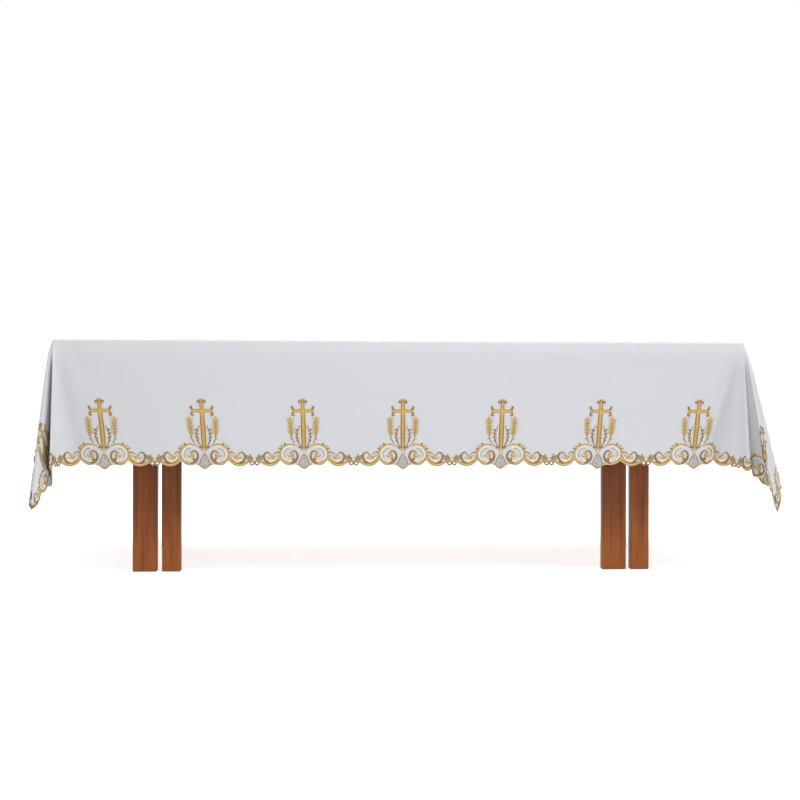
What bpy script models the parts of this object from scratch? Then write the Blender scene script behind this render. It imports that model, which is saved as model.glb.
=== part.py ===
"""A white altar cloth with a scalloped hem, draped over a plain wooden table.

Metres, +Z up. The origin is on the floor, under the middle of the whole. The front faces -Y.
The cloth is one sheet, laid over the table top with an equal drop at the front and both ends, and
a short plain one at the back. Each corner hangs in folds that fan out from the table's corner.
The places below are measured from the table's middle, and the whole is centred at the end.
"""
import math

import bmesh
import bpy
import numpy as np
from mathutils import Vector

# Table
TABLE_LENGTH = 2.268
TABLE_DEPTH = 0.975
TABLE_HEIGHT = 0.762
TOP_THICKNESS = 0.040
TOP_EASING = (0.010, 0.0024)  # how far in, and how far down, the upper edge is eased
PIECE_GAP = 0.0003

# Posts: each leg is a wide and a narrow post side by side
WIDE_POST = 0.080
NARROW_POST = 0.062
POST_DEPTH = 0.040
POST_SPACE = 0.016
POST_EASING = 0.003
LEGS = (
    # name, x of the space between its two posts, y of its middle
    ("front_left", -0.8005, -0.42),
    ("front_right", 0.7657, -0.42),
    ("back_left", -0.8794, 0.42),
    ("back_right", 0.9460, 0.42),
)

# Cloth
CLOTH_THICKNESS = 0.002
CORNER_DROP = 0.407
TIP_DROP = 0.404
BACK_DROP = 0.120  # plain, without motifs
PITCH = 0.3315  # from one motif of the scalloped edge to the next
LONG_MOTIFS = 7
SHORT_MOTIFS = 3
BEND_LENGTH = 0.010  # cloth used in the tight turn over the table's edge
BEND_TILT = math.radians(75)
BEND_STEPS = 221
EASE_LENGTH = 0.058  # where the drop has become upright
TURN_LOSS = 0.0074  # of the drop, used up in that turn
HEM_DRAW_IN = 0.023  # share of its length that the embroidered hem has shrunk
DRAW_IN_FROM, DRAW_IN_TO = 0.12, 0.42
DRAW_IN_FADE = (-20, 12)  # flat angle at a corner, in degrees
WAVE_HEIGHT, WAVE_LENGTH, WAVE_START = 0.0035, 0.74, 0.6
WAVE_FADE = (0.11, 0.35)  # distance from a corner

# Half of one motif's edge, from its middle tip out to the joint with the next motif
HALF_EDGE = (
    # share of the half pitch, how low it hangs below the table's edge
    (0.000, 0.4215),
    (0.070, 0.4130),
    (0.152, 0.4058),
    (0.283, 0.4067),
    (0.400, 0.4010),
    (0.473, 0.3922),
    (0.570, 0.4050),
    (0.687, 0.4100),
    (0.800, 0.4068),
    (0.890, 0.3995),
    (0.953, 0.4090),
    (1.000, 0.4035),
)

# Fold lines that run down from a corner of the table, from the front drop round to the side drop.
# Each leans away from straight down by these angles, in radians: along the long side, past the
# corner, and outward from the long side.
RIGHT_FOLDS = (
    # past the corner, outward
    (-0.262, 0.000),
    (-0.105, -0.075),
    (-0.030, 0.010),
    (0.008, 0.165),
    (0.066, 0.085),
    (0.118, 0.120),
    (0.095, 0.265),
    (0.150, 0.140),
    (0.250, -0.030),
    (0.090, -0.030),
    (0.255, -0.160),
    (0.000, -0.115),
    (0.000, -0.262),
)
LEFT_FOLDS = (
    # past the corner, outward
    (-0.262, 0.000),
    (-0.130, -0.010),
    (-0.038, 0.060),
    (-0.008, 0.215),
    (-0.002, 0.020),
    (0.016, 0.105),
    (0.037, 0.197),
    (0.058, 0.290),
    (0.098, 0.015),
    (0.080, -0.075),
    (0.155, -0.190),
    (0.065, -0.150),
    (0.115, -0.225),
    (0.000, -0.262),
)
TIP_ROW = 7  # the row of the cloth's tip, in both
STEPS_PER_FOLD = 24
FAN_START = math.radians(-15)  # flat angle, from straight down, where the folds begin
FAN_HALF = math.radians(60)
FOLDS_FROM, FULL_FOLDS = 0.010, 0.110  # distance from the corner over which the folds form
EARLY_LEAN = 0.15  # how far the cloth leans out before they have formed
STRETCH_ON, STRETCH_OFF = (-15, 10), (80, 105)  # flat angles of the cloth that has stretched
# Which folds each corner has, and how much its cloth, on the bias there, has stretched
CORNERS = {
    (1, -1): (RIGHT_FOLDS, 0.020),
    (-1, 1): (RIGHT_FOLDS, 0.020),
    (-1, -1): (LEFT_FOLDS, 0.004),
    (1, 1): (LEFT_FOLDS, 0.004),
}

# Mesh density: how far down each row lies where the drop is full, and its points in each corner
ROWS = (
    # drop, corner points
    (0.000, 0),
    (0.005, 1),
    (0.010, 3),
    (0.030, 7),
    (0.055, 11),
    (0.150, 23),
    (0.270, 29),
    (0.380, 35),
)
LONG_COLUMNS = 28
SHORT_COLUMNS = 12
PLAIN_STEP = 0.08

HALF_L = TABLE_LENGTH / 2
HALF_D = TABLE_DEPTH / 2

# The four sides, anticlockwise from above: name, kind, the signs of the outward direction and of
# the run, the signs of the corner at its end, and its drop
SIDES = (
    ("front", "long", 1, -1, 1, -1, CORNER_DROP),
    ("right", "short", 1, 1, 1, 1, CORNER_DROP),
    ("back", "long", -1, 1, -1, 1, BACK_DROP),
    ("left", "short", -1, -1, -1, -1, CORNER_DROP),
)
WAY_ROUND = 2 * len(SIDES)  # places round the cloth: each side and each corner has one


def ramp(value, low, high):
    """0 below low, 1 above high, and smooth between."""
    share = np.clip((value - low) / (high - low), 0, 1)
    return share * share * (3 - 2 * share)


def bend_tables():
    """How far the cloth has moved outward, and how much drop it has lost, at each distance."""
    distance = np.linspace(0, EASE_LENGTH, BEND_STEPS)
    tight = BEND_TILT * distance / BEND_LENGTH
    share = np.clip((distance - BEND_LENGTH) / (EASE_LENGTH - BEND_LENGTH), 0, 1)
    easing = BEND_TILT + (math.pi / 2 - BEND_TILT) * share**3
    tilt = np.where(distance < BEND_LENGTH, tight, easing)
    step = distance[1]
    outward = np.concatenate([[0], np.cumsum((np.cos(tilt[1:]) + np.cos(tilt[:-1])) / 2 * step)])
    fallen = np.concatenate([[0], np.cumsum((np.sin(tilt[1:]) + np.sin(tilt[:-1])) / 2 * step)])
    return distance, outward, distance - fallen


def unit_directions(lean):
    """Turns leans away from straight down into directions."""
    size = np.maximum(np.linalg.norm(lean, axis=1), 1e-9)
    level = lean * (np.sin(size) / size)[:, None]
    return np.column_stack([level, -np.cos(size)])


def fold_curve(folds):
    """Flat angles, and how the cloth leans at each: a smooth curve through the fold lines."""
    points = np.array(folds)
    along = np.concatenate([[0], np.cumsum(np.linalg.norm(np.diff(points, axis=0), axis=1))])
    slopes = np.gradient(points, along, axis=0)
    pieces = []
    share = np.linspace(0, 1, STEPS_PER_FOLD + 1)[:-1, None]
    for i in range(len(points) - 1):
        width = along[i + 1] - along[i]
        pieces.append(
            (1 + 2 * share) * (1 - share) ** 2 * points[i]
            + share * (1 - share) ** 2 * width * slopes[i]
            + share**2 * (3 - 2 * share) * points[i + 1]
            + share**2 * (share - 1) * width * slopes[i + 1]
        )
    lean = np.concatenate(pieces + [points[-1:]])
    turns = np.linalg.norm(np.diff(unit_directions(lean), axis=0), axis=1)
    arc = np.concatenate([[0], np.cumsum(turns)])
    tip = TIP_ROW * STEPS_PER_FOLD
    first = arc / arc[tip]
    second = 1 + (arc - arc[tip]) / (arc[-1] - arc[tip])
    angle = FAN_START + FAN_HALF * np.where(arc <= arc[tip], first, second)
    return angle, lean


def hang(x, y, folds, give):
    """Where points beyond the table's edges hang, from its corner: past, outward and up."""
    angle = np.arctan2(x, y)
    reach = np.hypot(x, y)
    angles, leans = fold_curve(folds)
    facing = np.clip(angle, 0, math.pi / 2)
    within = np.clip((angle - angles[0]) / (angles[-1] - angles[0]), 0, 1)
    early = EARLY_LEAN * np.sin(math.pi * within)
    plain = np.column_stack([np.minimum(angle, 0), np.minimum(math.pi / 2 - angle, 0)])
    plain += early[:, None] * np.column_stack([np.sin(facing), np.cos(facing)])
    folded = np.column_stack([np.interp(angle, angles, leans[:, i]) for i in range(2)])
    folded = np.where(((within > 0) & (within < 1))[:, None], folded, plain)
    formed = ramp(reach, FOLDS_FROM, FULL_FOLDS)[:, None]
    direction = unit_directions(plain + (folded - plain) * formed)
    degrees = np.degrees(angle)
    stretch = 1 + give * ramp(degrees, *STRETCH_ON) * (1 - ramp(degrees, *STRETCH_OFF))
    point = direction * (reach * stretch)[:, None]

    distance = np.where(angle < 0, y, np.where(angle > math.pi / 2, x, reach))
    steps, outward, lost = bend_tables()
    move = np.interp(distance, steps, outward)
    point[:, 0] += move * np.sin(facing)
    point[:, 1] += move * np.cos(facing)
    point[:, 2] += np.interp(distance, steps, lost)
    return point


def drape(flat):
    """Maps points of the flat cloth, measured from its middle, to where they hang."""
    flat = np.asarray(flat, dtype=float)
    result = np.zeros((len(flat), 3))
    side_x = np.where(flat[:, 0] < 0, -1, 1)
    side_y = np.where(flat[:, 1] < 0, -1, 1)
    for (sign_x, sign_y), (folds, give) in CORNERS.items():
        chosen = (side_x == sign_x) & (side_y == sign_y)
        x = sign_x * flat[chosen, 0] - HALF_L
        y = sign_y * flat[chosen, 1] - HALF_D
        lying = (x <= 0) & (y <= 0)
        point = hang(x, y, folds, give)
        point[lying] = np.column_stack([x, y, 0 * x])[lying]

        depth = -point[:, 2]
        angle = np.degrees(np.arctan2(x, y))
        drawn = HEM_DRAW_IN * ramp(depth, DRAW_IN_FROM, DRAW_IN_TO) * (1 - ramp(angle, *DRAW_IN_FADE))
        past = np.where(lying, 0, drawn * np.minimum(HALF_L + x, HALF_L))
        point[:, 0] -= past

        deep = (np.maximum(depth, 0) / CORNER_DROP) ** 2 * WAVE_HEIGHT
        along_long = -sign_y * flat[chosen, 0]
        along_short = sign_x * flat[chosen, 1]
        turn = 2 * math.pi / WAVE_LENGTH
        front = np.sin(turn * along_long + WAVE_START) * ramp(-x, *WAVE_FADE) * (y > 0)
        side = np.sin(turn * along_short + WAVE_START) * ramp(-y, *WAVE_FADE) * (x > 0)
        point[:, 1] += deep * front
        point[:, 0] += deep * side

        result[chosen, 0] = sign_x * (HALF_L + point[:, 0])
        result[chosen, 1] = sign_y * (HALF_D + point[:, 1])
        result[chosen, 2] = point[:, 2]
    result[:, 2] += TABLE_HEIGHT + PIECE_GAP + CLOTH_THICKNESS / 2
    return result


def motif_edge(middle, half):
    """Points of one motif's scalloped edge: how far along the side, and its drop."""
    left = [(middle - half * share, drop + TURN_LOSS) for share, drop in reversed(HALF_EDGE)]
    right = [(middle + half * share, drop + TURN_LOSS) for share, drop in HALF_EDGE[1:-1]]
    return left + right


def plain_edge(start, end, drop):
    """Points of a straight edge, without its last point."""
    count = max(1, round((end - start) / PLAIN_STEP))
    return [(start + (end - start) * i / count, drop) for i in range(count)]


def size_of(kind):
    """Half the length of a side along the table, and how many motifs hang straight on it."""
    return (HALF_L, LONG_MOTIFS) if kind == "long" else (HALF_D, SHORT_MOTIFS)


def side_edge(name, kind):
    """The edge of one side, corner to corner, without its last point."""
    half_side, motifs = size_of(kind)
    if name == "back":
        return plain_edge(-half_side - CORNER_DROP, half_side + CORNER_DROP, BACK_DROP)
    straight = motifs * PITCH / 2
    half = (half_side + CORNER_DROP - straight) / 2
    points = []
    if name == "left":
        points += plain_edge(-half_side - BACK_DROP, -straight, CORNER_DROP)
    else:
        points += motif_edge(-straight - half, half)
        points[:2] = [(-half_side - TIP_DROP, TIP_DROP)]
    for i in range(motifs):
        points += motif_edge((i - (motifs - 1) / 2) * PITCH, PITCH / 2)
    if name == "right":
        points += plain_edge(straight, half_side + BACK_DROP, CORNER_DROP)
    else:
        points += motif_edge(straight + half, half)[:-1]
    return points


def corner_points(drop, next_drop, count):
    """Points from the end of one side round to the start of the next, neither included."""
    points = []
    for i in range(1, count + 1):
        turn = math.pi / 2 * i / (count + 1)
        reach = 1 / max(math.sin(turn) / next_drop, math.cos(turn) / drop)
        points.append((reach * math.sin(turn), reach * math.cos(turn)))
    return points


def ring(share, count):
    """One closed row at a share of the drop, with the place of each point on the way round."""
    points, places = [], []
    for quarter, (_, kind, sign_x, sign_y, next_x, next_y, full) in enumerate(SIDES):
        half_side, columns = (HALF_L, LONG_COLUMNS) if kind == "long" else (HALF_D, SHORT_COLUMNS)
        drop = share * full
        next_drop = share * SIDES[(quarter + 1) % len(SIDES)][-1]
        for i in range(columns + 1):
            along = half_side * (2 * i / columns - 1)
            points.append(to_flat(kind, sign_x, sign_y, along, drop))
            places.append(2 * quarter + i / columns)
        for i, (past, out) in enumerate(corner_points(drop, next_drop, count)):
            u = next_x * (HALF_L + (past if kind == "long" else out))
            v = next_y * (HALF_D + (out if kind == "long" else past))
            points.append((u, v))
            places.append(2 * quarter + 1 + (i + 1) / (count + 1))
    return points, places


def to_flat(kind, sign_x, sign_y, along, drop):
    """A place on one side, given by its run along the side and its drop, on the flat cloth."""
    if kind == "long":
        return sign_x * along, sign_y * (HALF_D + drop)
    return sign_x * (HALF_L + drop), sign_y * along


def hem_ring():
    """The cloth's edge all the way round."""
    points, places = [], []
    for quarter, (name, kind, sign_x, sign_y, *_) in enumerate(SIDES):
        half_side, _ = size_of(kind)
        for along, drop in side_edge(name, kind):
            points.append(to_flat(kind, sign_x, sign_y, along, drop))
            if abs(along) <= half_side:
                places.append(2 * quarter + (along + half_side) / (2 * half_side))
            elif along > 0:
                places.append(2 * quarter + 1 + math.atan2(along - half_side, drop) / (math.pi / 2))
            else:
                places.append(2 * quarter - math.atan2(-along - half_side, drop) / (math.pi / 2))
    return points, [place % WAY_ROUND for place in places]


def zip_rings(inner, outer, first_inner, first_outer):
    """Triangles between two closed rows whose points have places on the same way round."""
    faces = []
    start = int(np.argmin(outer))
    order = [(start + i) % len(outer) for i in range(len(outer))]
    outer_places = [outer[i] for i in order]
    i = j = 0
    while i < len(inner) or j < len(outer_places):
        a = first_inner + i % len(inner)
        b = first_outer + order[j % len(outer_places)]
        next_inner = inner[i + 1] if i + 1 < len(inner) else inner[0] + WAY_ROUND
        next_outer = outer_places[j + 1] if j + 1 < len(outer_places) else outer_places[0] + WAY_ROUND
        if j >= len(outer_places) or (i < len(inner) and next_inner <= next_outer):
            i += 1
            faces.append((a, b, first_inner + i % len(inner)))
        else:
            j += 1
            faces.append((a, b, first_outer + order[j % len(outer_places)]))
    return faces


def material(name, colour, roughness):
    """A plain finish."""
    made = bpy.data.materials.new(name)
    made.use_nodes = True
    shader = made.node_tree.nodes["Principled BSDF"]
    shader.inputs["Base Color"].default_value = (*colour, 1)
    shader.inputs["Roughness"].default_value = roughness
    shader.inputs["Metallic"].default_value = 0.0
    return made


def add_mesh(name, points, faces, finish):
    """A new object from points and faces."""
    mesh = bpy.data.meshes.new(name)
    mesh.from_pydata([tuple(p) for p in points], [], faces)
    mesh.materials.append(finish)
    made = bpy.data.objects.new(name, mesh)
    bpy.context.scene.collection.objects.link(made)
    return made


def add_cloth(finish):
    """The whole cloth as one sheet, from its middle surface."""
    flat, faces, rows = [], [], []
    for drop, count in ROWS:
        points, places = ring(drop / CORNER_DROP, count)
        if drop == 0:
            kept = [i for i, p in enumerate(points) if p not in points[:i]]
            points, places = [points[i] for i in kept], [places[i] for i in kept]
        rows.append((len(flat), places))
        flat += points
    points, places = hem_ring()
    rows.append((len(flat), places))
    flat += points
    for (first_a, places_a), (first_b, places_b) in zip(rows, rows[1:]):
        faces += zip_rings(places_a, places_b, first_a, first_b)
    first = {tuple(np.round(flat[i], 6)): i for i in range(len(rows[0][1]))}
    grid = {}
    for i in range(LONG_COLUMNS + 1):
        for j in range(SHORT_COLUMNS + 1):
            u = HALF_L * (2 * i / LONG_COLUMNS - 1)
            v = HALF_D * (2 * j / SHORT_COLUMNS - 1)
            key = (round(u, 6) + 0.0, round(v, 6) + 0.0)
            if key not in first:
                first[key] = len(flat)
                flat.append((u, v))
            grid[i, j] = first[key]
    for i in range(LONG_COLUMNS):
        for j in range(SHORT_COLUMNS):
            faces.append((grid[i, j], grid[i + 1, j], grid[i + 1, j + 1], grid[i, j + 1]))
    cloth = add_mesh("altar_cloth", drape(flat), faces, finish)
    cloth.data.shade_smooth()
    thick = cloth.modifiers.new("Thickness", "SOLIDIFY")
    thick.thickness = CLOTH_THICKNESS
    thick.offset = 0
    return cloth


def add_table_top(finish):
    """A flat board whose upper edge is eased."""
    ease_in, ease_down = TOP_EASING
    levels = (
        (0.0, TABLE_HEIGHT - TOP_THICKNESS),
        (0.0, TABLE_HEIGHT - ease_down),
        (ease_in, TABLE_HEIGHT),
    )
    points = []
    for inset, height in levels:
        for sign_x, sign_y in ((-1, -1), (1, -1), (1, 1), (-1, 1)):
            points.append((sign_x * (HALF_L - inset), sign_y * (HALF_D - inset), height))
    faces = [(3, 2, 1, 0), (8, 9, 10, 11)]
    for level in (0, 4):
        for i in range(4):
            j = (i + 1) % 4
            faces.append((level + i, level + j, level + j + 4, level + i + 4))
    return add_mesh("table_top", points, faces, finish)


def add_post(name, x, y, width, finish):
    """An upright of sawn timber with eased edges, standing on the floor."""
    height = TABLE_HEIGHT - TOP_THICKNESS - PIECE_GAP
    mesh = bpy.data.meshes.new(name)
    shape = bmesh.new()
    bmesh.ops.create_cube(shape, size=1)
    bmesh.ops.scale(shape, verts=shape.verts, vec=Vector((width, POST_DEPTH, height)))
    bmesh.ops.translate(shape, verts=shape.verts, vec=Vector((0, 0, height / 2)))
    shape.to_mesh(mesh)
    shape.free()
    mesh.materials.append(finish)
    post = bpy.data.objects.new(name, mesh)
    bpy.context.scene.collection.objects.link(post)
    post.location = (x, y, 0)
    easing = post.modifiers.new("Eased edges", "BEVEL")
    easing.width = POST_EASING
    easing.segments = 1
    return post


def centre_on_origin():
    """Moves every piece, so that the middle of the whole stands over the origin."""
    graph = bpy.context.evaluated_depsgraph_get()
    pieces = list(bpy.context.scene.collection.objects)
    corners = []
    for piece in pieces:
        shown = piece.evaluated_get(graph)
        corners += [shown.matrix_world @ Vector(corner) for corner in shown.bound_box]
    lowest = np.min(corners, axis=0)
    highest = np.max(corners, axis=0)
    middle = (lowest + highest) / 2
    for piece in pieces:
        piece.location -= Vector((middle[0], middle[1], 0))


def main():
    for old in list(bpy.data.objects):
        bpy.data.objects.remove(old, do_unlink=True)
    linen = material("White cloth", (0.80, 0.81, 0.83), 0.75)
    board = material("Table board", (0.20, 0.09, 0.035), 0.5)
    timber = material("Brown timber", (0.22, 0.072, 0.020), 0.45)
    add_cloth(linen)
    add_table_top(board)
    for place, x, y in LEGS:
        wide_x = x - (POST_SPACE + WIDE_POST) / 2
        narrow_x = x + (POST_SPACE + NARROW_POST) / 2
        add_post("wide_post_" + place, wide_x, y, WIDE_POST, timber)
        add_post("narrow_post_" + place, narrow_x, y, NARROW_POST, timber)
    centre_on_origin()


main()
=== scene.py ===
"""The looks of a white altar cloth with a gold embroidered hem, laid over a wooden table.

Metres, +Z up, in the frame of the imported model. The front faces -Y. The embroidery is drawn in
millimetres in its motif's own frame, and then laid on the draped cloth as raised thread.
"""
import math

import bpy
import numpy as np
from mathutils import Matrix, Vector


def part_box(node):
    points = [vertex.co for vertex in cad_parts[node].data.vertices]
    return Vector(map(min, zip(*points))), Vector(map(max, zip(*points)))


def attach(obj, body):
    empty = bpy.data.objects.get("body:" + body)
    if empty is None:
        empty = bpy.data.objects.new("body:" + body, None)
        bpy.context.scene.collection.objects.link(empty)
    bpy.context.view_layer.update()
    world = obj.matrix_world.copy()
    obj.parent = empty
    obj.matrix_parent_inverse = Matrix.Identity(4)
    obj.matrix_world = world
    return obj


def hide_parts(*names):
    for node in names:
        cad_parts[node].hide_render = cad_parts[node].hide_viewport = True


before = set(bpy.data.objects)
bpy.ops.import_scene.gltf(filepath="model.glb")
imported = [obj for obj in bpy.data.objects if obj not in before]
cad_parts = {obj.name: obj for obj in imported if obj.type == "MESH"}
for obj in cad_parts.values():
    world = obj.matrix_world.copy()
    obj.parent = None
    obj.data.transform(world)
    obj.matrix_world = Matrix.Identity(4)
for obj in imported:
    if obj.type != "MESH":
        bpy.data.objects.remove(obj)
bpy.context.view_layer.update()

# The table, as the frame has it
TABLE_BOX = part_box("table_top")
TABLE_MIDDLE = (TABLE_BOX[0] + TABLE_BOX[1]) / 2
HALF_L = TABLE_BOX[1].x - TABLE_MIDDLE.x
HALF_D = TABLE_BOX[1].y - TABLE_MIDDLE.y
TABLE_HEIGHT = TABLE_BOX[1].z
PIECE_GAP = 0.0003

# Camera: level, at the photograph's angle; its place is from the table's middle, on the floor
CAMERA_PLACE = (-0.324, -5.4995, 0.569)
CAMERA_TURN = math.radians(3.6)  # to the right
CAMERA_ROLL = math.radians(-0.12)
CAMERA_LENS, CAMERA_SENSOR = 68.4, 36  # millimetres

# Drape of the cloth, as in the solids
FRAME_CLOTH = 0.002
CORNER_DROP = 0.407
TIP_DROP = 0.404
BACK_DROP = 0.120  # the back hangs less, with a plain hem
PITCH = 0.3315
LONG_MOTIFS = 7
SHORT_MOTIFS = 3
BEND_LENGTH = 0.010
BEND_TILT = math.radians(75)
BEND_STEPS = 221
EASE_LENGTH = 0.058
TURN_LOSS = 0.0074
HEM_DRAW_IN = 0.023
DRAW_IN_FROM, DRAW_IN_TO = 0.12, 0.42
DRAW_IN_FADE = (-20, 12)  # degrees round the corner
WAVE_HEIGHT, WAVE_LENGTH, WAVE_START = 0.0035, 0.74, 0.6
WAVE_FADE = (0.11, 0.35)
STRETCH_ON, STRETCH_OFF = (-15, 10), (80, 105)  # degrees too

# Half of one motif's edge: share of the half pitch, drop, and whether the edge has a corner there
HALF_EDGE = (
    (0.000, 0.4215, True),
    (0.070, 0.4130, False),
    (0.152, 0.4058, False),
    (0.283, 0.4067, False),
    (0.400, 0.4010, False),
    (0.473, 0.3922, True),
    (0.570, 0.4050, False),
    (0.687, 0.4100, False),
    (0.800, 0.4068, False),
    (0.890, 0.3995, True),
    (0.953, 0.4090, False),
    (1.000, 0.4035, True),
)
EDGE_STEPS = 3  # points to each stretch of that edge
PLAIN_STEP = 0.012

# Fold lines at the corners: how each leans from straight down, in radians
RIGHT_FOLDS = (
    # past the corner, outward
    (-0.262, 0.000),
    (-0.105, -0.075),
    (-0.030, 0.010),
    (0.008, 0.165),
    (0.066, 0.085),
    (0.118, 0.120),
    (0.095, 0.265),
    (0.150, 0.140),
    (0.250, -0.030),
    (0.090, -0.030),
    (0.255, -0.160),
    (0.000, -0.115),
    (0.000, -0.262),
)
LEFT_FOLDS = (
    # past the corner, outward
    (-0.262, 0.000),
    (-0.130, -0.010),
    (-0.038, 0.060),
    (-0.008, 0.215),
    (-0.002, 0.020),
    (0.016, 0.105),
    (0.037, 0.197),
    (0.058, 0.290),
    (0.098, 0.015),
    (0.080, -0.075),
    (0.155, -0.190),
    (0.065, -0.150),
    (0.115, -0.225),
    (0.000, -0.262),
)
TIP_ROW = 7  # the row of the cloth's tip, in both
TINY = 1e-12  # keeps a length that is divided by above 0
STEPS_PER_FOLD = 24
FAN_START = math.radians(-15)
FAN_HALF = math.radians(60)
FOLDS_FROM, FULL_FOLDS = 0.010, 0.110
EARLY_LEAN = 0.15
# Which folds each corner has, and how much its cloth has stretched
CORNERS = {
    (1, -1): (RIGHT_FOLDS, 0.020),
    (-1, 1): (RIGHT_FOLDS, 0.020),
    (-1, -1): (LEFT_FOLDS, 0.004),
    (1, 1): (LEFT_FOLDS, 0.004),
}
# The four sides, anticlockwise from above: name, kind, the signs of the outward direction and of
# the run, the signs of the corner at its end, and its drop
SIDES = (
    ("front", "long", 1, -1, 1, -1, CORNER_DROP),
    ("right", "short", 1, 1, 1, 1, CORNER_DROP),
    ("back", "long", -1, 1, -1, 1, BACK_DROP),
    ("left", "short", -1, -1, -1, -1, CORNER_DROP),
)
WAY_ROUND = 2 * len(SIDES)  # places round the cloth: each side and each corner has one

# The fine sheet
SHEET_THICKNESS = 0.0012
LONG_COLUMNS = 162
SHORT_COLUMNS = 70
CORNER_COLUMNS = 120
CORNER_GROWTH = 4000  # corner points to a metre of drop, up to all of them
FINE_ROWS = (0, 0.002, 0.004, 0.006, 0.008, 0.010, 0.014, 0.019, 0.026, 0.034, 0.044, 0.056)
ROW_STEP = 0.0205
LAST_ROW = 0.388
NORMAL_STEP = 0.0008

# Soft creases: side, start and end as run along the side and drop, half width, height
CREASES = (
    ("front", (-1.115, 0.035), (-0.900, 0.215), 0.022, -0.0016),
    ("front", (-1.060, 0.030), (-0.800, 0.160), 0.030, 0.0014),
    ("front", (-1.125, 0.090), (-1.040, 0.300), 0.016, -0.0012),
    ("front", (0.868, 0.010), (0.884, 0.048), 0.005, -0.0012),
    ("front", (0.700, 0.060), (0.960, 0.190), 0.030, -0.0010),
    ("front", (1.112, 0.070), (1.066, 0.380), 0.026, -0.0040),
    ("back", (0.540, 0.030), (0.720, 0.110), 0.024, 0.0012),
    ("right", (-0.400, 0.040), (-0.240, 0.220), 0.022, -0.0014),
    ("left", (0.180, 0.050), (0.400, 0.190), 0.024, 0.0013),
)
CREASE_FADE = 0.12

# Embroidery, in millimetres: how high each thread stands, and how much wider a stroke is than drawn
MM_PER_METRE = 1000
RELIEF = {"gold": 1.3, "antique": 2.1, "cream": 0.8, "tracery": 1.2}
FULLNESS = {"gold": 1.22, "antique": 1.22, "cream": 1.1, "tracery": 1.6}
STITCH_STEP = 2.2
# Across a stroke: place from one edge to the other, and share of its height; both edges go
# through the cloth, so the stitches show on its inner side too
SECTION = ((-1.0, 0.0), (-0.66, 0.74), (0.0, 1.0), (0.66, 0.74), (1.0, 0.0))
CORD_SECTION = ((-1.0, 0.0), (0.0, 1.0), (1.0, 0.0))
CORD_WIDTH = 2.5  # a stroke that is narrower all along has the cord's section
REVERSE = -1.5
FULL_HEIGHT_WIDTH = 5.0  # a narrower stroke stands lower
LEAST_HEIGHT = 0.35  # share of the height that is left as a stroke narrows to nothing
LEAF_SHAPE = (0.35, 0.9, 1.0, 0.75)  # shares of a leaf's width from its base on
LEAF_POINT = 0.6
BEADS, FIRST_BEAD, BEAD_STEP = 19, 248, 5.4  # down the shaft of the cross
BEAD_REACH, BEAD_BOW = 4.6, 1.4
GRAIN_PAIRS, FIRST_GRAIN = 5, (40.6, 309)  # up the ear of wheat
GRAIN_STEP = (0.5, -10.5)
LATTICE = 5  # cells along each edge of the drop
SCROLL_EYE = (48, 371)
RAYS, FIRST_RAY, RAY_STEP = 7, -95, 21  # round the eye, in degrees
RAY_ENDS = (15, 24)
EDGE_INSET = 0.008  # of the cord inside the plain hem, in metres
EDGE_CORD = 3.2

# Threads: name, colour of the painted shade at a stroke's edges, the body and its shine, roughness, metallic
# share
THREADS = {
    "gold": ("Gold thread", (0.14, 0.062, 0.008), (0.34, 0.195, 0.020), (0.62, 0.425, 0.110), 0.42, 0.3),
    "antique": ("Dark gold thread", (0.090, 0.035, 0.005), (0.21, 0.096, 0.012), (0.36, 0.195, 0.034),
                0.42, 0.3),
    "cream": ("Cream thread", (0.45, 0.33, 0.17), (0.80, 0.70, 0.50), (0.92, 0.85, 0.68), 0.5, 0.0),
    "tracery": ("Beige thread", (0.11, 0.075, 0.035), (0.19, 0.14, 0.075), (0.30, 0.23, 0.13), 0.6, 0.0),
}

# Cloth: how close its warp, its weft and its uneven threads lie, and its two tones
WARP_SCALE, WEFT_SCALE = 380.0, 340.0
SLUB_ALONG, SLUB_ACROSS = 9.0, 420.0
CLOTH_TONES = ((0.450, 0.458, 0.482), (0.470, 0.478, 0.502))

# Woods: name, dark, middle and light colour, and how close the grain lies along each axis
POST_WOOD = ("Brown timber", (0.078, 0.017, 0.002), (0.138, 0.034, 0.004), (0.235, 0.066, 0.009),
             (5.0, 5.0, 0.22))
BOARD_WOOD = ("Table board", (0.13, 0.055, 0.02), (0.24, 0.11, 0.045), (0.34, 0.17, 0.075),
              (0.5, 5.0, 5.0))
WOOD_LIT_TO = 0.24  # below this height wood is lighter, as by light from the floor
WOOD_LIT_BY = 0.30

# Studio: soft lights with their place, what they face, size and power; floor and surroundings
SOFTBOXES = (
    ("Top light", (0.6, -0.6, 3.4), (0, 0, 0.6), (3.4, 2.2), 125),
    ("Key light", (3.6, -3.6, 2.6), (0.2, 0, 0.6), (2.4, 2.4), 12),
)
FLOOR_REACH = 14
FLOOR_TONE = 0.93
FLOOR_GLOW = 0.58
SKY_FADE = (0.35, 0.75)  # height on the sky's sphere
SKY_LOW, SKY_HIGH = 1.0, 0.45  # brightness below and above


def ramp(value, low, high):
    """0 below low, 1 above high, and smooth between."""
    share = np.clip((value - low) / (high - low), 0, 1)
    return share * share * (3 - 2 * share)


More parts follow.
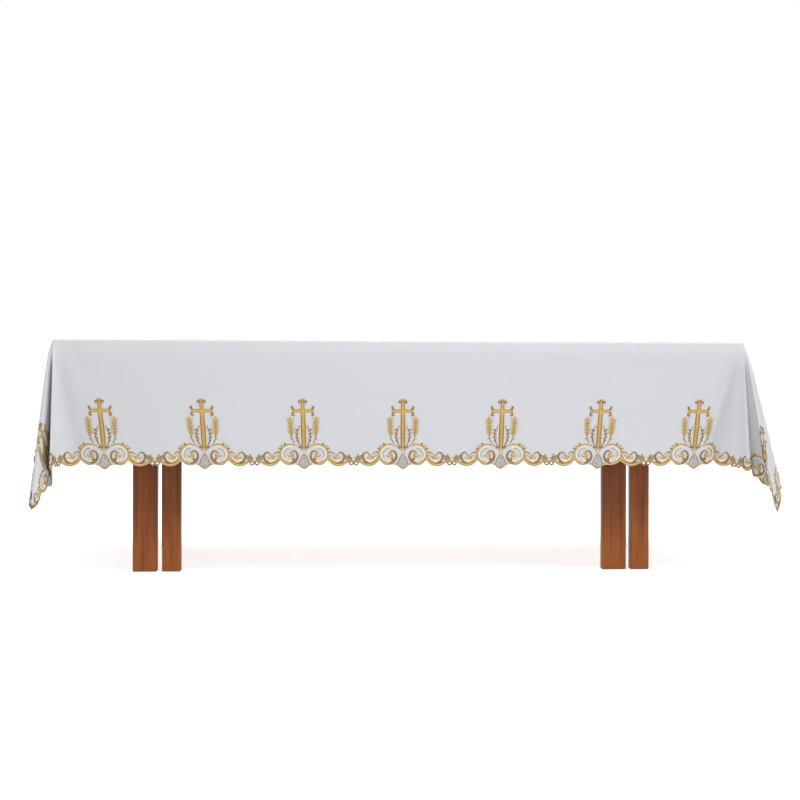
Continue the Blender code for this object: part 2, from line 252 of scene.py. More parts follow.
def bend_tables():
    """How far the cloth has moved outward, and how much drop it has lost, at each distance."""
    distance = np.linspace(0, EASE_LENGTH, BEND_STEPS)
    tight = BEND_TILT * distance / BEND_LENGTH
    share = np.clip((distance - BEND_LENGTH) / (EASE_LENGTH - BEND_LENGTH), 0, 1)
    easing = BEND_TILT + (math.pi / 2 - BEND_TILT) * share**3
    tilt = np.where(distance < BEND_LENGTH, tight, easing)
    step = distance[1]
    outward = np.concatenate([[0], np.cumsum((np.cos(tilt[1:]) + np.cos(tilt[:-1])) / 2 * step)])
    fallen = np.concatenate([[0], np.cumsum((np.sin(tilt[1:]) + np.sin(tilt[:-1])) / 2 * step)])
    return distance, outward, distance - fallen


def unit_directions(lean):
    """Turns leans away from straight down into directions."""
    size = np.maximum(np.linalg.norm(lean, axis=1), TINY)
    level = lean * (np.sin(size) / size)[:, None]
    return np.column_stack([level, -np.cos(size)])


def smooth_line(points, steps):
    """A smooth curve through points, with that many samples to each stretch."""
    points = np.array(points, dtype=float)
    along = np.concatenate([[0], np.cumsum(np.linalg.norm(np.diff(points, axis=0), axis=1))])
    slopes = np.gradient(points, along, axis=0)
    pieces = []
    for i in range(len(points) - 1):
        count = steps if isinstance(steps, int) else steps[i]
        share = np.linspace(0, 1, count + 1)[:-1, None]
        width = along[i + 1] - along[i]
        pieces.append(
            (1 + 2 * share) * (1 - share) ** 2 * points[i]
            + share * (1 - share) ** 2 * width * slopes[i]
            + share**2 * (3 - 2 * share) * points[i + 1]
            + share**2 * (share - 1) * width * slopes[i + 1]
        )
    return np.concatenate(pieces + [points[-1:]])


def fold_curve(folds):
    """Flat angles, and how the cloth leans at each: a smooth curve through the fold lines."""
    lean = smooth_line(folds, STEPS_PER_FOLD)
    turns = np.linalg.norm(np.diff(unit_directions(lean), axis=0), axis=1)
    arc = np.concatenate([[0], np.cumsum(turns)])
    tip = TIP_ROW * STEPS_PER_FOLD
    first = arc / arc[tip]
    second = 1 + (arc - arc[tip]) / (arc[-1] - arc[tip])
    angle = FAN_START + FAN_HALF * np.where(arc <= arc[tip], first, second)
    return angle, lean


def hang(x, y, folds, give):
    """Where points beyond the table's edges hang, from its corner: past, outward and up."""
    angle = np.arctan2(x, y)
    reach = np.hypot(x, y)
    angles, leans = fold_curve(folds)
    facing = np.clip(angle, 0, math.pi / 2)
    within = np.clip((angle - angles[0]) / (angles[-1] - angles[0]), 0, 1)
    early = EARLY_LEAN * np.sin(math.pi * within)
    plain = np.column_stack([np.minimum(angle, 0), np.minimum(math.pi / 2 - angle, 0)])
    plain += early[:, None] * np.column_stack([np.sin(facing), np.cos(facing)])
    folded = np.column_stack([np.interp(angle, angles, leans[:, i]) for i in range(2)])
    folded = np.where(((within > 0) & (within < 1))[:, None], folded, plain)
    formed = ramp(reach, FOLDS_FROM, FULL_FOLDS)[:, None]
    direction = unit_directions(plain + (folded - plain) * formed)
    degrees = np.degrees(angle)
    stretch = 1 + give * ramp(degrees, *STRETCH_ON) * (1 - ramp(degrees, *STRETCH_OFF))
    point = direction * (reach * stretch)[:, None]

    distance = np.where(angle < 0, y, np.where(angle > math.pi / 2, x, reach))
    steps, outward, lost = bend_tables()
    move = np.interp(distance, steps, outward)
    point[:, 0] += move * np.sin(facing)
    point[:, 1] += move * np.cos(facing)
    point[:, 2] += np.interp(distance, steps, lost)
    return point


def drape(flat):
    """Maps points of the flat cloth, measured from its middle, to where they hang."""
    flat = np.asarray(flat, dtype=float)
    result = np.zeros((len(flat), 3))
    side_x = np.where(flat[:, 0] < 0, -1, 1)
    side_y = np.where(flat[:, 1] < 0, -1, 1)
    for (sign_x, sign_y), corner in CORNERS.items():
        chosen = (side_x == sign_x) & (side_y == sign_y)
        x = sign_x * flat[chosen, 0] - HALF_L
        y = sign_y * flat[chosen, 1] - HALF_D
        lying = (x <= 0) & (y <= 0)
        point = hang(x, y, *corner)
        point[lying] = np.column_stack([x, y, 0 * x])[lying]

        depth = -point[:, 2]
        angle = np.degrees(np.arctan2(x, y))
        drawn = HEM_DRAW_IN * ramp(depth, DRAW_IN_FROM, DRAW_IN_TO) * (1 - ramp(angle, *DRAW_IN_FADE))
        past = np.where(lying, 0, drawn * np.minimum(HALF_L + x, HALF_L))
        point[:, 0] -= past

        deep = (np.maximum(depth, 0) / CORNER_DROP) ** 2 * WAVE_HEIGHT
        along_long = -sign_y * flat[chosen, 0]
        along_short = sign_x * flat[chosen, 1]
        turn = 2 * math.pi / WAVE_LENGTH
        front = np.sin(turn * along_long + WAVE_START) * ramp(-x, *WAVE_FADE) * (y > 0)
        side = np.sin(turn * along_short + WAVE_START) * ramp(-y, *WAVE_FADE) * (x > 0)
        point[:, 1] += deep * front
        point[:, 0] += deep * side

        result[chosen, 0] = sign_x * (HALF_L + point[:, 0])
        result[chosen, 1] = sign_y * (HALF_D + point[:, 1])
        result[chosen, 2] = point[:, 2]
    result += (TABLE_MIDDLE.x, TABLE_MIDDLE.y, TABLE_HEIGHT + PIECE_GAP + FRAME_CLOTH / 2)
    return result


def to_flat(kind, sign_x, sign_y, along, drop):
    """A place on one side, given by its run along the side and its drop, on the flat cloth."""
    if kind == "long":
        return sign_x * along, sign_y * (HALF_D + drop)
    return sign_x * (HALF_L + drop), sign_y * along


def crease_height(flat):
    """How far the soft creases lift or sink the cloth."""
    height = np.zeros(len(flat))
    for side, start, end, width, rise in CREASES:
        kind, sign_x, sign_y = next(row[1:4] for row in SIDES if row[0] == side)
        a = np.array(to_flat(kind, sign_x, sign_y, *start))
        b = np.array(to_flat(kind, sign_x, sign_y, *end))
        share = ((flat - a) @ (b - a)) / np.dot(b - a, b - a)
        away = np.linalg.norm(flat - (a + np.clip(share, 0, 1)[:, None] * (b - a)), axis=1)
        ends = ramp(share, 0, CREASE_FADE) * (1 - ramp(share, 1 - CREASE_FADE, 1))
        height += rise * ends * np.exp(-((away / width) ** 2))
    return height


def surface(flat):
    """The draped cloth's middle surface with its creases, and its outward normals."""
    flat = np.asarray(flat, dtype=float)
    middle = drape(flat)
    across = drape(flat + (NORMAL_STEP, 0)) - middle
    up = drape(flat + (0, NORMAL_STEP)) - middle
    normal = np.cross(across, up)
    normal /= np.maximum(np.linalg.norm(normal, axis=1), TINY)[:, None]
    return middle + normal * crease_height(flat)[:, None], normal


def half_edge():
    """Half of one motif's edge as a fine smooth line with its corners kept."""
    line, run = [], []
    for share, drop, corner in HALF_EDGE:
        run.append((share, drop))
        if corner and len(run) > 1:
            line += [tuple(p) for p in smooth_line(run, EDGE_STEPS)[:-1]]
            run = [(share, drop)]
    return line + run


def motif_edge(middle, half):
    """Points of one motif's scalloped edge: how far along the side, and its drop."""
    edge = half_edge()
    left = [(middle - half * share, drop + TURN_LOSS) for share, drop in reversed(edge)]
    right = [(middle + half * share, drop + TURN_LOSS) for share, drop in edge[1:-1]]
    return left + right


def plain_edge(start, end, drop):
    """Points of a straight edge, without its last point."""
    count = max(1, round((end - start) / PLAIN_STEP))
    return [(start + (end - start) * i / count, drop) for i in range(count)]


def size_of(kind):
    """Half the length of a side along the table, and how many motifs hang straight on it."""
    return (HALF_L, LONG_MOTIFS) if kind == "long" else (HALF_D, SHORT_MOTIFS)


def side_edge(name, kind):
    """The edge of one side, corner to corner, without its last point."""
    half_side, motifs = size_of(kind)
    if name == "back":
        return plain_edge(-half_side - CORNER_DROP, half_side + CORNER_DROP, BACK_DROP)
    straight = motifs * PITCH / 2
    half = (half_side + CORNER_DROP - straight) / 2
    points = []
    if name == "left":
        points += plain_edge(-half_side - BACK_DROP, -straight, CORNER_DROP)
    else:
        points += motif_edge(-straight - half, half)
        points[: 2 * EDGE_STEPS] = [(-half_side - TIP_DROP, TIP_DROP)]
    for i in range(motifs):
        points += motif_edge((i - (motifs - 1) / 2) * PITCH, PITCH / 2)
    if name == "right":
        points += plain_edge(straight, half_side + BACK_DROP, CORNER_DROP)
    else:
        points += motif_edge(straight + half, half)[: 1 - 2 * EDGE_STEPS]
    return points


def corner_points(drop, next_drop, count):
    """Points from the end of one side round to the start of the next, neither included."""
    points = []
    for i in range(1, count + 1):
        turn = math.pi / 2 * i / (count + 1)
        reach = 1 / max(math.sin(turn) / next_drop, math.cos(turn) / drop)
        points.append((reach * math.sin(turn), reach * math.cos(turn)))
    return points


def ring(share, count):
    """One closed row at a share of the drop, with the place of each point on the way round."""
    points, places = [], []
    for quarter, (_, kind, sign_x, sign_y, next_x, next_y, full) in enumerate(SIDES):
        half_side, columns = (HALF_L, LONG_COLUMNS) if kind == "long" else (HALF_D, SHORT_COLUMNS)
        drop = share * full
        next_drop = share * SIDES[(quarter + 1) % len(SIDES)][-1]
        for i in range(columns + 1):
            along = half_side * (2 * i / columns - 1)
            points.append(to_flat(kind, sign_x, sign_y, along, drop))
            places.append(2 * quarter + i / columns)
        for i, (past, out) in enumerate(corner_points(drop, next_drop, count)):
            u = next_x * (HALF_L + (past if kind == "long" else out))
            v = next_y * (HALF_D + (out if kind == "long" else past))
            points.append((u, v))
            places.append(2 * quarter + 1 + (i + 1) / (count + 1))
    return points, places


def hem_ring():
    """The cloth's edge all the way round."""
    points, places = [], []
    for quarter, (name, kind, sign_x, sign_y, *_) in enumerate(SIDES):
        half_side, _ = size_of(kind)
        for along, drop in side_edge(name, kind):
            points.append(to_flat(kind, sign_x, sign_y, along, drop))
            if abs(along) <= half_side:
                places.append(2 * quarter + (along + half_side) / (2 * half_side))
            elif along > 0:
                places.append(2 * quarter + 1 + math.atan2(along - half_side, drop) / (math.pi / 2))
            else:
                places.append(2 * quarter - math.atan2(-along - half_side, drop) / (math.pi / 2))
    return points, [place % WAY_ROUND for place in places]


def zip_rings(inner, outer, first_inner, first_outer):
    """Triangles between two closed rows whose points have places on the same way round."""
    faces = []
    start = int(np.argmin(outer))
    order = [(start + i) % len(outer) for i in range(len(outer))]
    outer_places = [outer[i] for i in order]
    i = j = 0
    while i < len(inner) or j < len(outer_places):
        a = first_inner + i % len(inner)
        b = first_outer + order[j % len(outer_places)]
        next_inner = inner[i + 1] if i + 1 < len(inner) else inner[0] + WAY_ROUND
        next_outer = outer_places[j + 1] if j + 1 < len(outer_places) else outer_places[0] + WAY_ROUND
        if j >= len(outer_places) or (i < len(inner) and next_inner <= next_outer):
            i += 1
            faces.append((a, b, first_inner + i % len(inner)))
        else:
            j += 1
            faces.append((a, b, first_outer + order[j % len(outer_places)]))
    return faces


def add_object(name, data):
    """A new object in the scene."""
    made = bpy.data.objects.new(name, data)
    bpy.context.scene.collection.objects.link(made)
    return made


def add_mesh(name, points, faces, uvs, finish):
    """A smooth new object whose points have places on a UV map."""
    mesh = bpy.data.meshes.new(name)
    mesh.from_pydata(np.asarray(points).tolist(), [], faces)
    layer = mesh.uv_layers.new(name="Thread")
    corners = np.zeros(len(mesh.loops), dtype=np.int32)
    mesh.loops.foreach_get("vertex_index", corners)
    layer.data.foreach_set("uv", np.asarray(uvs, dtype=np.float32)[corners].ravel())
    mesh.materials.append(finish)
    mesh.shade_smooth()
    return add_object(name, mesh)


def sheet_rows():
    """The share of the drop at each row of the sheet, and its points in each corner."""
    below = np.arange(FINE_ROWS[-1], LAST_ROW, ROW_STEP)[1:]
    drops = [*FINE_ROWS, *(float(d) for d in below), LAST_ROW]
    return [(d / CORNER_DROP, min(CORNER_COLUMNS, round(CORNER_GROWTH * d))) for d in drops]


def rounded(point):
    """A flat point as a key that is the same wherever the point comes up."""
    return round(point[0], 6), round(point[1], 6)


def hanging_rows():
    """The cloth past the table's edges: flat points, faces, and how many points are on the edges."""
    flat, faces, rows = [], [], []
    for share, count in sheet_rows():
        points, places = ring(share, count)
        if share == 0:
            first = {}
            for i, point in enumerate(points):
                first.setdefault(rounded(point), i)
            kept = sorted(first.values())
            points, places = [points[i] for i in kept], [places[i] for i in kept]
        rows.append((len(flat), places))
        flat += points
    points, places = hem_ring()
    rows.append((len(flat), places))
    flat += points
    for (first_a, places_a), (first_b, places_b) in zip(rows, rows[1:]):
        faces += zip_rings(places_a, places_b, first_a, first_b)
    return flat, faces, rows[1][0]


def lying_grid(flat, known):
    """Faces of the cloth on the board. New points join flat, and known has those on the edges."""
    grid = {}
    for i in range(LONG_COLUMNS + 1):
        for j in range(SHORT_COLUMNS + 1):
            point = (HALF_L * (2 * i / LONG_COLUMNS - 1), HALF_D * (2 * j / SHORT_COLUMNS - 1))
            key = rounded(point)
            if key not in known:
                known[key] = len(flat)
                flat.append(point)
            grid[i, j] = known[key]
    return [
        (grid[i, j], grid[i + 1, j], grid[i + 1, j + 1], grid[i, j + 1])
        for i in range(LONG_COLUMNS)
        for j in range(SHORT_COLUMNS)
    ]


def add_cloth(finish):
    """The whole cloth as one thin sheet with its scalloped edge."""
    flat, faces, on_edges = hanging_rows()
    faces += lying_grid(flat, {rounded(point): i for i, point in enumerate(flat[:on_edges])})
    places, _ = surface(flat)
    cloth = add_mesh("altar_sheet", places, faces, flat, finish)
    thick = cloth.modifiers.new("Thickness", "SOLIDIFY")
    thick.thickness = SHEET_THICKNESS
    thick.offset = 0
    return cloth


def flat_area():
    """The area of the flat cloth inside its scalloped edge."""
    points = np.array(hem_ring()[0])
    after = np.roll(points, -1, axis=0)
    return float(abs(np.sum(points[:, 0] * after[:, 1] - after[:, 0] * points[:, 1])) / 2)


def stroke(thread, points, widths):
    """One raised stroke of thread: its points, faces and places along and across it."""
    samples = [max(1, round(math.dist(a, b) / STITCH_STEP)) for a, b in zip(points, points[1:])]
    path = smooth_line(points, samples)
    at = np.linspace(0, len(points) - 1, len(widths))
    sampled = np.concatenate([[0], np.cumsum([1 / n for n in samples for _ in range(n)])])
    width = np.interp(sampled, at, widths) * FULLNESS[thread]
    heading = np.gradient(path, axis=0)
    heading /= np.linalg.norm(heading, axis=1)[:, None]
    beside = np.column_stack([-heading[:, 1], heading[:, 0]])
    run = np.concatenate([[0], np.cumsum(np.linalg.norm(np.diff(path, axis=0), axis=1))])
    section = CORD_SECTION if max(widths) < CORD_WIDTH else SECTION
    share = LEAST_HEIGHT + (1 - LEAST_HEIGHT) * width / FULL_HEIGHT_WIDTH
    rise = RELIEF[thread] * np.minimum(1, share)
    count = len(section)
    verts = np.zeros((len(path), count, 3))
    uvs = np.zeros((len(path), count, 2))
    for k, (side, height) in enumerate(section):
        verts[:, k, :2] = path + beside * (width / 2 * side)[:, None]
        verts[:, k, 2] = rise * height if height else REVERSE
        uvs[:, k, 0] = run / MM_PER_METRE
        uvs[:, k, 1] = (side + 1) / 2
    faces = [tuple(range(count)), tuple(reversed(range((len(path) - 1) * count, len(path) * count)))]
    for i in range(len(path) - 1):
        for k in range(count):
            a, b = i * count + k, i * count + (k + 1) % count
            faces.append((b, a, a + count, b + count))
    return verts.reshape(-1, 3), faces, uvs.reshape(-1, 2)


def mirror(strokes):
    """The same strokes on the other side of the motif's middle."""
    return [(thread, [(-x, d) for x, d in points], widths) for thread, points, widths in strokes]


def circle(x, d, radius, turns=1.0, start=0.0, count=14):
    """Points round a circle."""
    return [
        (x + radius * math.cos(start + math.tau * turns * i / count),
         d + radius * math.sin(start + math.tau * turns * i / count))
        for i in range(count + 1)
    ]


def leaf(thread, base, tip, width, bow=0.0):
    """A pointed leaf whose middle bows to one side."""
    x = (base[0] + tip[0]) / 2 + bow * (tip[1] - base[1])
    d = (base[1] + tip[1]) / 2 - bow * (tip[0] - base[0])
    return (thread, [base, (x, d), tip], [*(width * share for share in LEAF_SHAPE), LEAF_POINT])


def cross_strokes():
    """The cross: a flared shaft and bar with rims and small curls, and a beaded lower half."""
    strokes = [
        ("gold", [(0, 195), (0, 228), (0, 290), (0, 355)], [16, 11.5, 13, 14, 14, 14, 13, 10]),
        ("gold", [(-36, 228.5), (0, 228.5), (36, 228.5)], [17, 10, 10, 12, 12, 12, 10, 10, 17]),
    ]
    for i in range(BEADS):
        d = FIRST_BEAD + i * BEAD_STEP
        bead = [(-BEAD_REACH, d), (0, d + BEAD_BOW), (BEAD_REACH, d)]
        strokes.append(("antique", bead, [1.4, 2.8, 1.4]))
    rims_and_curls = [
        ("antique", [(6.6, 238), (7.4, 290), (7.0, 346)], [1.8, 2.2, 1.8]),
        ("antique", [(6.2, 202), (5.4, 220)], [1.8, 1.6]),
        ("antique", [(3, 203), (8, 197), (12, 196), (13, 200), (10, 203)], [4, 4.5, 4, 3.5, 2.5]),
        ("antique", [(2, 196), (4, 191), (7, 189)], [4, 3, 1]),
        ("antique", [(29, 224), (34, 219), (37, 216), (34, 213.5), (31, 215.5)], [5, 5, 4, 3, 2]),
        ("antique", [(29, 233), (34, 237), (36, 241), (31, 244), (27, 241.5)], [5, 5, 4, 4, 2.5]),
        ("antique", [(5, 346), (10, 350), (14, 349), (14, 345), (11, 344)], [5, 5, 4.5, 3.5, 2.5]),
        ("gold", [(3, 352), (6, 358), (4, 363)], [6, 5, 1.5]),
    ]
    return strokes + rims_and_curls + mirror(rims_and_curls)


def wheat_ear():
    """An ear of wheat beside the cross: paired grains with midribs and awns on a bowed stem."""
    stem = [(31, 334), (38, 322), (41, 305), (42, 280), (42.5, 262)]
    strokes = [("antique", stem, [2.6, 2.6, 2.6])]
    for i in range(GRAIN_PAIRS):
        x, d = FIRST_GRAIN[0] + i * GRAIN_STEP[0], FIRST_GRAIN[1] + i * GRAIN_STEP[1]
        for way in (-1, 1):
            strokes.append(leaf("gold", (x + 0.5 * way, d + 2), (x + 9.5 * way, d - 12), 7.4, 0.16 * way))
            strokes.append(("antique", [(x + 1.5 * way, d - 1), (x + 7.5 * way, d - 9)], [1.6, 1.0]))
            strokes.append(("antique", [(x + 9.5 * way, d - 11), (x + 12.5 * way, d - 18)], [1.6, 0.8]))
    strokes.append(leaf("gold", (42.8, 262), (43.2, 246), 7.0))
    strokes.append(leaf("gold", (37, 325), (48, 319), 4.5, 0.2))
    return strokes


def leaf_spray():
    """A small bowed spray of leaves between the cross's foot and the ear."""
    strokes = [("antique", [(11, 343), (18, 332), (21.5, 315), (20, 298), (16, 284)], [3, 3, 2.4, 1.6])]
    for x, d in ((17, 333), (20.5, 321), (21.3, 309), (20, 297)):
        strokes.append(leaf("antique", (x, d), (x + 8.5, d - 9), 5.2, 0.18))
    for x, d in ((19, 325), (21, 312), (19.5, 300)):
        strokes.append(leaf("gold", (x, d), (x - 6.5, d - 9), 4.4, -0.18))
    strokes.append(leaf("gold", (16.5, 287), (13.5, 275), 5.0, 0.1))
    return strokes


def drop_strokes():
    """The pointed drop under the cross, filled with a fine lattice."""
    apex, side, foot = (0, 366), (17, 400), (0, 416)
    strokes = [("gold", [(-26, 402.5), (-17, 406.5), (-9, 412.5), (0, 418.5)], [3.5, 5, 5, 4.5])]
    strokes += mirror(strokes)
    outline = [("antique", [apex, (7, 378), (12.5, 389), (17.5, 403)], [1.2, 2.6, 2.6, 2.2])]
    strokes += outline + mirror(outline)
    for k in range(1, LATTICE):
        a = k / LATTICE
        start = (a * side[0], (1 - a) * apex[1] + a * side[1])
        end = (-(1 - a) * side[0], (1 - a) * side[1] + a * foot[1])
        thread = [("tracery", [start, end], [1.5, 1.5])]
        strokes += thread + mirror(thread)
    strokes.append(leaf("gold", (0, 392), (0, 374), 4.0))
    return strokes


def big_scroll():
    """The large scroll on the right of the cross's foot, with its crest and inner leaves."""
    arc = [(15, 352), (20, 345), (29, 341), (41, 338.5), (56, 339.5), (69, 346), (77.5, 359),
           (79.5, 375), (75, 388), (65, 397), (51, 401.8), (38, 400)]
    hook = [(46, 401.5), (35, 397.5), (26, 389), (21.5, 377.5), (25, 366), (34, 359.5), (43, 361.5)]
    inside = [(36, 346.5), (48, 345), (60, 349.5), (69.5, 359.5), (73, 372), (69.5, 383), (61, 391.5)]
    strokes = [
        ("gold", arc, [2, 3, 4, 5.2, 6, 6.5, 5.6, 5.4, 6.2, 8, 9.2, 7]),
        ("antique", hook, [5, 8.5, 8, 7, 6, 4.5, 2]),
        ("cream", inside, [2, 3, 3.4, 3.4, 3.4, 3, 2]),
        ("cream", [(57, 395.5), (46, 395), (36, 389)], [2, 3.2, 2]),
        leaf("antique", (33, 397), (40, 382), 8.5, 0.1),
        leaf("gold", (36, 384), (50, 363), 9.5, 0.12),
        leaf("gold", (40, 379), (58, 372), 6.0, -0.15),
        leaf("gold", (42, 374), (40, 360), 5.0, 0.1),
        leaf("antique", (63, 343), (67, 333), 5.0, 0.15),
        leaf("gold", (71, 349), (81, 342), 5.0, 0.2),
        leaf("antique", (76, 357), (87, 351), 5.0, 0.2),
        leaf("gold", (79, 366), (90, 362), 4.6, 0.2),
    ]
    for k in range(RAYS):
        turn = math.radians(FIRST_RAY + RAY_STEP * k)
        x, d = math.cos(turn), math.sin(turn)
        ray = [(SCROLL_EYE[0] + reach * x, SCROLL_EYE[1] + reach * d) for reach in RAY_ENDS]
        strokes.append(("tracery", ray, [1.8, 1.5]))
    strokes.append(("tracery", circle(*SCROLL_EYE, 19.5, 0.34, math.radians(-98), 8), [1.6, 1.6]))
    return strokes


def small_scroll():
    """The smaller scroll beyond it, over the thick gold crescent of the hem."""
    crescent = [(80, 386.5), (88, 394.5), (99, 400.6), (114, 403.7), (129, 402), (141, 398.2), (150, 395)]
    curl = [(116, 399), (127, 394), (133.5, 385), (134, 375), (129, 367), (121, 364.5), (114.5, 368.5)]
    return [
        ("gold", crescent, [3, 7.5, 10.5, 11.5, 10, 7, 4]),
        ("antique", [(x, d - 2.2) for x, d in crescent[1:-1]], [1.2, 2.4, 2.6, 2.4, 1.2]),
        ("antique", curl, [4, 6.5, 7, 6.5, 5, 3.6, 2]),
        ("gold", [(81.5, 366), (84, 379), (92, 390), (103, 396)], [3.5, 4.5, 5, 3]),
        ("cream", [(89, 378), (95, 387), (105, 393), (117, 393), (126, 386)], [2, 3, 3.6, 3.2, 2]),
        ("antique", [(84, 367), (91, 364.5), (98, 367), (101, 373)], [2.5, 3, 2.6, 1.4]),
        leaf("gold", (103, 389), (117, 369), 8.5, 0.1),
        leaf("gold", (106, 386), (96, 375), 4.6, 0.15),
        leaf("gold", (110, 384), (124, 379), 4.6, -0.15),
        ("antique", [(90, 374), (92, 378)], [3, 2]),
        ("antique", [(99, 379), (101, 384)], [3, 2]),
    ]


def joint_strokes():
    """Half of where two motifs meet: leaves with cream hearts over a pearl in a small ring."""
    return [
        leaf("tracery", (151, 394), (138, 373), 7.5, -0.06),
        leaf("tracery", (153, 393), (150, 371), 7.0, 0.05),
        leaf("tracery", (156, 393), (161, 380), 5.0, 0.1),
        leaf("cream", (150, 389), (141.5, 377), 3.4, -0.06),
        leaf("cream", (152.5, 389), (150.5, 376), 3.2, 0.05),
        ("antique", [(148, 393), (138, 384), (135.5, 371)], [2.4, 2.2, 1.2]),
        ("antique", [(154.5, 391), (155.5, 381), (152, 369)], [2.0, 2.0, 1.0]),
        ("gold", [(146, 396), (151, 391.5), (158, 391), (164, 394)], [3, 4.5, 4, 2]),
        ("antique", circle(157.6, 400.0, 6.5), [2.8, 2.8]),
        ("cream", [(153.5, 400), (157.6, 400), (161.7, 400)], [5, 8.5, 5]),
    ]


def corner_strokes():
    """The stitched edge between the last scroll and the cloth's tip."""
    return [
        ("antique", [(138, 396), (147, 396.5), (153, 392.5), (159, 391)], [4, 6.5, 7, 6]),
        ("gold", [(141, 391), (148, 387), (156, 386)], [2, 4, 3]),
    ]


def merged(parts):
    """Several meshes as one."""
    points, faces, uvs, first = [], [], [], 0
    for verts, quads, places in parts:
        points.append(verts)
        uvs.append(places)
        faces += [tuple(i + first for i in quad) for quad in quads]
        first += len(verts)
    return np.concatenate(points), faces, np.concatenate(uvs)


def sewn(strokes):
    """Strokes as one mesh for each thread."""
    made = {}
    for thread in RELIEF:
        parts = [stroke(t, points, widths) for t, points, widths in strokes if t == thread]
        if parts:
            made[thread] = merged(parts)
    return made


def motif_groups():
    """The parts that motifs are put together from."""
    flank = wheat_ear() + leaf_spray()
    right = big_scroll() + small_scroll()
    return {
        "cross": sewn(cross_strokes() + flank + mirror(flank)),
        "scrolls": sewn(drop_strokes() + right + mirror(right)),
        "right joint": sewn(joint_strokes()),
        "left joint": sewn(mirror(joint_strokes())),
        "right corner": sewn(corner_strokes()),
        "left corner": sewn(mirror(corner_strokes())),
    }


def motif_places(name, kind):
    """Where each motif of a side goes: its middle, its stretch along the hem, and its groups."""
    half_side, motifs = size_of(kind)
    straight = motifs * PITCH / 2
    half = (half_side + CORNER_DROP - straight) / 2
    whole = ["cross", "scrolls", "left joint", "right joint"]
    places = [((i - (motifs - 1) / 2) * PITCH, 1.0, whole) for i in range(motifs)]
    stretch = half / (PITCH / 2)
    cross = ["cross"] if name == "front" else []
    if name != "left":
        places.append((-straight - half, stretch, ["scrolls", "right joint", "left corner"] + cross))
    if name != "right":
        places.append((straight + half, stretch, ["scrolls", "left joint", "right corner"] + cross))
    return places


def plain_stitches(name, kind):
    """A line of gold cord inside the edge where the hem is plain, in the side's own frame."""
    half_side, motifs = size_of(kind)
    start, end = motifs * PITCH / 2, half_side + BACK_DROP - EDGE_INSET
    drop = CORNER_DROP - EDGE_INSET
    if name == "back":
        start, end = -half_side - drop, half_side + drop
        drop = BACK_DROP - EDGE_INSET
    if name == "left":
        start, end = -end, -start
    line = [(MM_PER_METRE * x, MM_PER_METRE * drop) for x in (start, (start + end) / 2, end)]
    return sewn([("gold", line, [EDGE_CORD, EDGE_CORD])])


def stitch_sets(name, kind, groups):
    """All that is sewn on one side: each set's middle, how much lower it is, stretch and meshes."""
    sets = []
    if name != "back":
        for middle, stretch, chosen in motif_places(name, kind):
            for group in chosen:
                sets.append((middle, TURN_LOSS, 1.0 if group == "cross" else stretch, groups[group]))
    if name != "front":
        sets.append((0, 0, 1.0, plain_stitches(name, kind)))
    return sets


def embroider(side, groups, finishes):
    """The threads of one side, laid on the cloth, one object for each thread."""
    name, kind, sign_x, sign_y = side[:4]
    made = []
    for thread in RELIEF:
        parts = []
        for middle, low, stretch, meshes in stitch_sets(name, kind, groups):
            if thread in meshes:
                verts, faces, uvs = meshes[thread]
                along = middle + verts[:, 0] / MM_PER_METRE * stretch
                drop = verts[:, 1] / MM_PER_METRE + low
                flat = np.column_stack(to_flat(kind, sign_x, sign_y, along, drop))
                parts.append((np.column_stack([flat, verts[:, 2] / MM_PER_METRE]), faces, uvs))
        if parts:
            points, faces, uvs = merged(parts)
            place, normal = surface(points[:, :2])
            place += normal * (points[:, 2:] + SHEET_THICKNESS / 2)
            made.append(add_mesh(f"{thread}_thread_{name}", place, faces, uvs, finishes[thread]))
    return made


def node_adder(tree):
    """A function that adds a node to the tree, with links or values for its sockets."""

    def add(kind, links=(), **settings):
        node = tree.nodes.new(kind)
        for key, value in settings.items():
            setattr(node, key, value)
        for socket, value in dict(links).items():
            if isinstance(value, bpy.types.NodeSocket):
                tree.links.new(value, node.inputs[socket])
            else:
                node.inputs[socket].default_value = value
        return node

    return add


def new_material(name):
    """A material with its shader and a function that adds nodes to it."""
    made = bpy.data.materials.new(name)
    made.use_nodes = True
    tree = made.node_tree
    return made, tree, tree.nodes["Principled BSDF"], node_adder(tree)


def colour_steps(node, steps):
    """Sets a colour ramp from (place, colour) pairs."""
    steps = list(steps)
    elements = node.color_ramp.elements
    while len(elements) < len(steps):
        elements.new(0.5)
    for element, (place, colour) in zip(elements, steps):
        element.position = place
        element.color = (*colour, 1)


